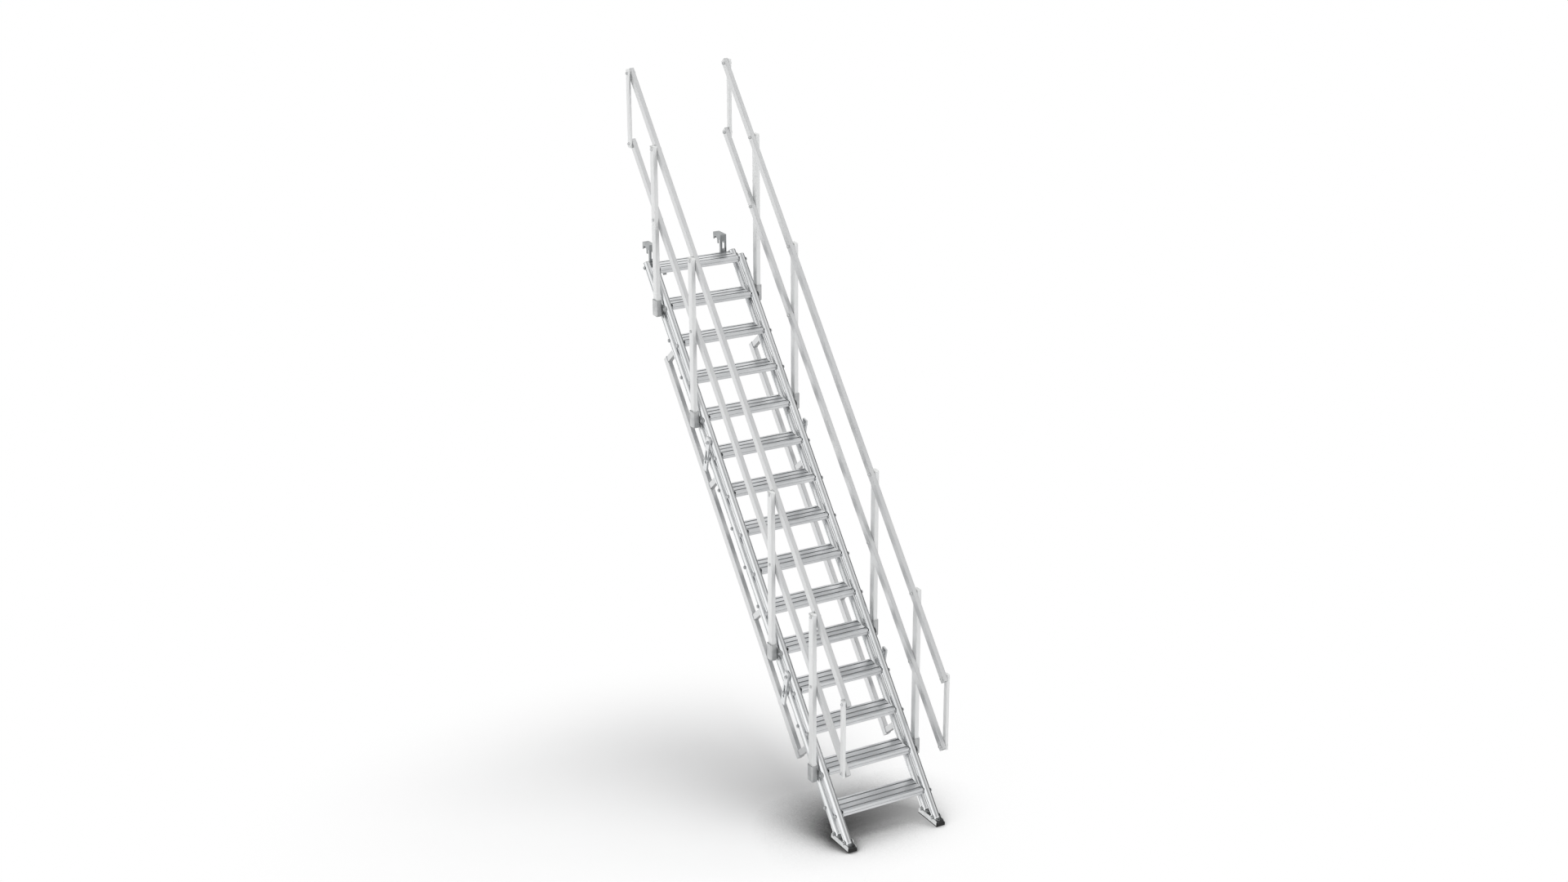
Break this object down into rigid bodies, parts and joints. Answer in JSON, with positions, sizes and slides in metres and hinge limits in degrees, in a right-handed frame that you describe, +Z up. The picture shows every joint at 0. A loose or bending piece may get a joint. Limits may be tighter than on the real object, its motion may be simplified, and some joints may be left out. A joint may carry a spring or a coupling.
{
  "type": "adjustable access stair",
  "caption": "Aluminium access stair with tube stringers, level pinned treads, handrails on upright posts, slotted braces, pivoting feet and hooks for a scaffold tube.",
  "frame": {"origin": "centre of the left foot's sole, on the floor", "axes": "+Z up, +Y along the climbing direction, +X to the right of a person who climbs"},
  "size_m": [0.803, 2.9049, 4.4294],
  "materials": {
    "tube_aluminium": "mill-finish extruded tube",
    "tread_aluminium": "matt ribbed extrusion",
    "profile_aluminium": "satin extruded profile",
    "plate_aluminium": "flat bar",
    "cast_aluminium": "cast, slightly rough",
    "foot_aluminium": "folded channel",
    "hook_steel": "dark coated",
    "rubber": "matt"
  },
  "bodies": {
    "feet": {"left_foot": "foot_aluminium", "right_foot": "foot_aluminium", "foot_pads": "rubber"},
    "front_stringers": {"left_front_stringer": "tube_aluminium", "right_front_stringer": "tube_aluminium"},
    "rear_stringers": {"left_rear_stringer": "tube_aluminium", "right_rear_stringer": "tube_aluminium", "left_chord": "profile_aluminium", "right_chord": "profile_aluminium", "chord_brackets_1": "profile_aluminium", "chord_brackets_2": "profile_aluminium", "chord_brackets_3": "profile_aluminium", "chord_brackets_4": "profile_aluminium"},
    "tread_01": {"tread_01": "tread_aluminium"},
    "tread_02": {"tread_02": "tread_aluminium", "sockets_02": "cast_aluminium", "posts_02": "profile_aluminium"},
    "tread_03": {"tread_03": "tread_aluminium"},
    "tread_04": {"tread_04": "tread_aluminium"},
    "tread_05": {"tread_05": "tread_aluminium", "sockets_05": "cast_aluminium", "posts_05": "profile_aluminium"},
    "tread_06": {"tread_06": "tread_aluminium"},
    "tread_07": {"tread_07": "tread_aluminium"},
    "tread_08": {"tread_08": "tread_aluminium"},
    "tread_09": {"tread_09": "tread_aluminium"},
    "tread_10": {"tread_10": "tread_aluminium"},
    "tread_11": {"tread_11": "tread_aluminium", "sockets_11": "cast_aluminium", "posts_11": "profile_aluminium"},
    "tread_12": {"tread_12": "tread_aluminium"},
    "tread_13": {"tread_13": "tread_aluminium"},
    "tread_14": {"tread_14": "tread_aluminium", "sockets_14": "cast_aluminium", "posts_14": "profile_aluminium"},
    "tread_15": {"tread_15": "tread_aluminium", "top_hooks": "hook_steel"},
    "top_rails": {"left_top_rail": "profile_aluminium", "right_top_rail": "profile_aluminium"},
    "knee_rails": {"left_knee_rail": "profile_aluminium", "right_knee_rail": "profile_aluminium"},
    "lower_end_bars": {"lower_end_bars": "profile_aluminium"},
    "upper_end_bars": {"upper_end_bars": "profile_aluminium"},
    "lower_lock_struts": {"lower_lock_struts": "plate_aluminium"},
    "upper_lock_struts": {"upper_lock_struts": "plate_aluminium"}
  },
  "joints": [
    {"name": "inclination", "type": "hinge", "parent": "feet", "child": "front_stringers", "pos_m": [0.325, -0.05121, 0.04], "axis": [1, 0, 0], "range_deg": [-20.1, 9.9]},
    {"name": "rear_stringers_follow", "type": "hinge", "parent": "feet", "child": "rear_stringers", "pos_m": [0.325, 0.0758, 0.04], "axis": [1, 0, 0], "range_deg": [-20.15, 9.95]},
    {"name": "tread_01_level", "type": "hinge", "parent": "front_stringers", "child": "tread_01", "pos_m": [0.325, 0.06, 0.173], "axis": [1, 0, 0], "range_deg": [-9.95, 20.15]},
    {"name": "tread_02_level", "type": "hinge", "parent": "front_stringers", "child": "tread_02", "pos_m": [0.325, 0.23447, 0.38167], "axis": [1, 0, 0], "range_deg": [-9.95, 20.15]},
    {"name": "tread_03_level", "type": "hinge", "parent": "front_stringers", "child": "tread_03", "pos_m": [0.325, 0.40895, 0.59034], "axis": [1, 0, 0], "range_deg": [-9.95, 20.15]},
    {"name": "tread_04_level", "type": "hinge", "parent": "front_stringers", "child": "tread_04", "pos_m": [0.325, 0.58342, 0.79901], "axis": [1, 0, 0], "range_deg": [-9.95, 20.15]},
    {"name": "tread_05_level", "type": "hinge", "parent": "front_stringers", "child": "tread_05", "pos_m": [0.325, 0.7579, 1.00768], "axis": [1, 0, 0], "range_deg": [-9.95, 20.15]},
    {"name": "tread_06_level", "type": "hinge", "parent": "front_stringers", "child": "tread_06", "pos_m": [0.325, 0.93237, 1.21635], "axis": [1, 0, 0], "range_deg": [-9.95, 20.15]},
    {"name": "tread_07_level", "type": "hinge", "parent": "front_stringers", "child": "tread_07", "pos_m": [0.325, 1.10685, 1.42501], "axis": [1, 0, 0], "range_deg": [-9.95, 20.15]},
    {"name": "tread_08_level", "type": "hinge", "parent": "front_stringers", "child": "tread_08", "pos_m": [0.325, 1.28132, 1.63368], "axis": [1, 0, 0], "range_deg": [-9.95, 20.15]},
    {"name": "tread_09_level", "type": "hinge", "parent": "front_stringers", "child": "tread_09", "pos_m": [0.325, 1.45579, 1.84235], "axis": [1, 0, 0], "range_deg": [-9.95, 20.15]},
    {"name": "tread_10_level", "type": "hinge", "parent": "front_stringers", "child": "tread_10", "pos_m": [0.325, 1.63027, 2.05102], "axis": [1, 0, 0], "range_deg": [-9.95, 20.15]},
    {"name": "tread_11_level", "type": "hinge", "parent": "front_stringers", "child": "tread_11", "pos_m": [0.325, 1.80474, 2.25969], "axis": [1, 0, 0], "range_deg": [-9.95, 20.15]},
    {"name": "tread_12_level", "type": "hinge", "parent": "front_stringers", "child": "tread_12", "pos_m": [0.325, 1.97922, 2.46836], "axis": [1, 0, 0], "range_deg": [-9.95, 20.15]},
    {"name": "tread_13_level", "type": "hinge", "parent": "front_stringers", "child": "tread_13", "pos_m": [0.325, 2.15369, 2.67703], "axis": [1, 0, 0], "range_deg": [-9.95, 20.15]},
    {"name": "tread_14_level", "type": "hinge", "parent": "front_stringers", "child": "tread_14", "pos_m": [0.325, 2.32817, 2.8857], "axis": [1, 0, 0], "range_deg": [-9.95, 20.15]},
    {"name": "tread_15_level", "type": "hinge", "parent": "front_stringers", "child": "tread_15", "pos_m": [0.325, 2.50264, 3.09436], "axis": [1, 0, 0], "range_deg": [-9.95, 20.15]},
    {"name": "top_rails_follow", "type": "hinge", "parent": "tread_02", "child": "top_rails", "pos_m": [0.325, 0.29797, 1.45367], "axis": [1, 0, 0], "range_deg": [-20.15, 9.95]},
    {"name": "knee_rails_follow", "type": "hinge", "parent": "tread_02", "child": "knee_rails", "pos_m": [0.325, 0.29797, 0.98167], "axis": [1, 0, 0], "range_deg": [-20.15, 9.95]},
    {"name": "lower_end_bars_level", "type": "hinge", "parent": "top_rails", "child": "lower_end_bars", "pos_m": [0.325, -0.06765, 1.01639], "axis": [1, 0, 0], "range_deg": [-9.95, 20.15]},
    {"name": "upper_end_bars_level", "type": "hinge", "parent": "top_rails", "child": "upper_end_bars", "pos_m": [0.325, 2.75729, 4.39498], "axis": [1, 0, 0], "range_deg": [-9.95, 20.15]},
    {"name": "lower_lock_struts_swing", "type": "hinge", "parent": "front_stringers", "child": "lower_lock_struts", "pos_m": [0.325, 0.6567, 0.88665], "axis": [1, 0, 0], "range_deg": [-1.73, 3.47]},
    {"name": "upper_lock_struts_swing", "type": "hinge", "parent": "front_stringers", "child": "upper_lock_struts", "pos_m": [0.325, 1.70355, 2.13866], "axis": [1, 0, 0], "range_deg": [-1.73, 3.47]}
  ],
  "couplings": [
    {"joint": "rear_stringers_follow", "follows": "inclination", "ratio": 1},
    {"joint": "tread_01_level", "follows": "inclination", "ratio": -1},
    {"joint": "tread_02_level", "follows": "inclination", "ratio": -1},
    {"joint": "tread_03_level", "follows": "inclination", "ratio": -1},
    {"joint": "tread_04_level", "follows": "inclination", "ratio": -1},
    {"joint": "tread_05_level", "follows": "inclination", "ratio": -1},
    {"joint": "tread_06_level", "follows": "inclination", "ratio": -1},
    {"joint": "tread_07_level", "follows": "inclination", "ratio": -1},
    {"joint": "tread_08_level", "follows": "inclination", "ratio": -1},
    {"joint": "tread_09_level", "follows": "inclination", "ratio": -1},
    {"joint": "tread_10_level", "follows": "inclination", "ratio": -1},
    {"joint": "tread_11_level", "follows": "inclination", "ratio": -1},
    {"joint": "tread_12_level", "follows": "inclination", "ratio": -1},
    {"joint": "tread_13_level", "follows": "inclination", "ratio": -1},
    {"joint": "tread_14_level", "follows": "inclination", "ratio": -1},
    {"joint": "tread_15_level", "follows": "inclination", "ratio": -1},
    {"joint": "top_rails_follow", "follows": "inclination", "ratio": 1},
    {"joint": "knee_rails_follow", "follows": "inclination", "ratio": 1},
    {"joint": "lower_end_bars_level", "follows": "inclination", "ratio": -1},
    {"joint": "upper_end_bars_level", "follows": "inclination", "ratio": -1},
    {"joint": "lower_lock_struts_swing", "follows": "inclination", "ratio": -0.17},
    {"joint": "upper_lock_struts_swing", "follows": "inclination", "ratio": -0.17}
  ]
}
